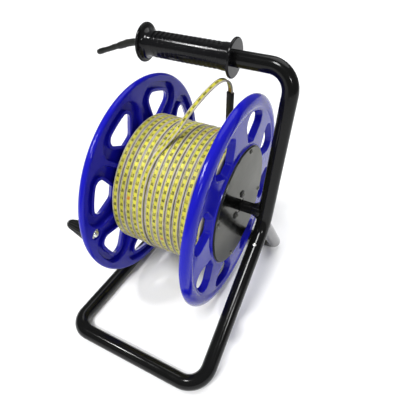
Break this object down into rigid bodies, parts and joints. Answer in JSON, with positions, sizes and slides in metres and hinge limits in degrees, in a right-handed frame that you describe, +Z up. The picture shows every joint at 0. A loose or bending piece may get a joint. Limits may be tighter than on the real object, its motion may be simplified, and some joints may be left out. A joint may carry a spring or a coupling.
{
  "type": "portable tape reel",
  "caption": "Hand-carried reel: flat graduated tape wound on a windowed plastic spool that turns on an axle welded to a bent-tube stand with a grip.",
  "frame": {"origin": "on the floor, straight below the middle of the spool and its axle", "axes": "+X along the axle towards the upright, -Y to the front rail, +Z up"},
  "size_m": [0.2901, 0.3465, 0.374],
  "materials": {
    "tube_paint": "gloss black",
    "zinc": "zinc plated",
    "chrome": "bright plated",
    "cover_fixings": "dull plated",
    "grip_black": "satin to gloss moulding",
    "plug_black": "satin",
    "hook_black": "rough textured",
    "flange_blue": "gloss moulding",
    "core_plastic": "satin",
    "bush_nylon": "natural nylon",
    "cover_grey": "satin grey",
    "gasket_black": "matt",
    "knob_black": "satin knurled",
    "spindle_steel": "turned",
    "tape_yellow": "printed tape in clear coating",
    "sleeve_black": "satin"
  },
  "bodies": {
    "stand": {"upright_tube": "tube_paint", "base_tube": "tube_paint", "frame_joint_screw": "chrome", "axle_shaft": "tube_paint", "axle_gussets": "tube_paint", "axle_inner_washer": "zinc", "axle_end_washer": "zinc", "axle_end_nut": "zinc", "grip": "grip_black", "tube_end_plug": "plug_black", "hook_arm": "hook_black"},
    "spool": {"left_flange": "flange_blue", "right_flange": "flange_blue", "drum_core": "core_plastic", "left_bush": "bush_nylon", "right_bush": "bush_nylon", "tie_bolts": "zinc", "tie_nuts": "zinc", "cover_gasket": "gasket_black", "hub_cover_plate": "cover_grey", "cover_screws": "cover_fixings", "hub_screw_rings": "plug_black", "hub_screws": "cover_fixings", "crank_washer": "chrome", "crank_screw": "chrome", "crank_spindle": "spindle_steel", "tape_winding": "tape_yellow", "tape_lead": "tape_yellow", "tape_sleeve": "sleeve_black", "tape_end_fitting": "sleeve_black"},
    "knob": {"crank_knob": "knob_black"}
  },
  "joints": [
    {"name": "reel_spin", "type": "hinge", "parent": "stand", "child": "spool", "pos_m": [0, 0, 0.164], "axis": [1, 0, 0], "continuous": true},
    {"name": "crank_knob_spin", "type": "hinge", "parent": "spool", "child": "knob", "pos_m": [0, -0.1304, 0.15144], "axis": [1, 0, 0], "continuous": true}
  ]
}
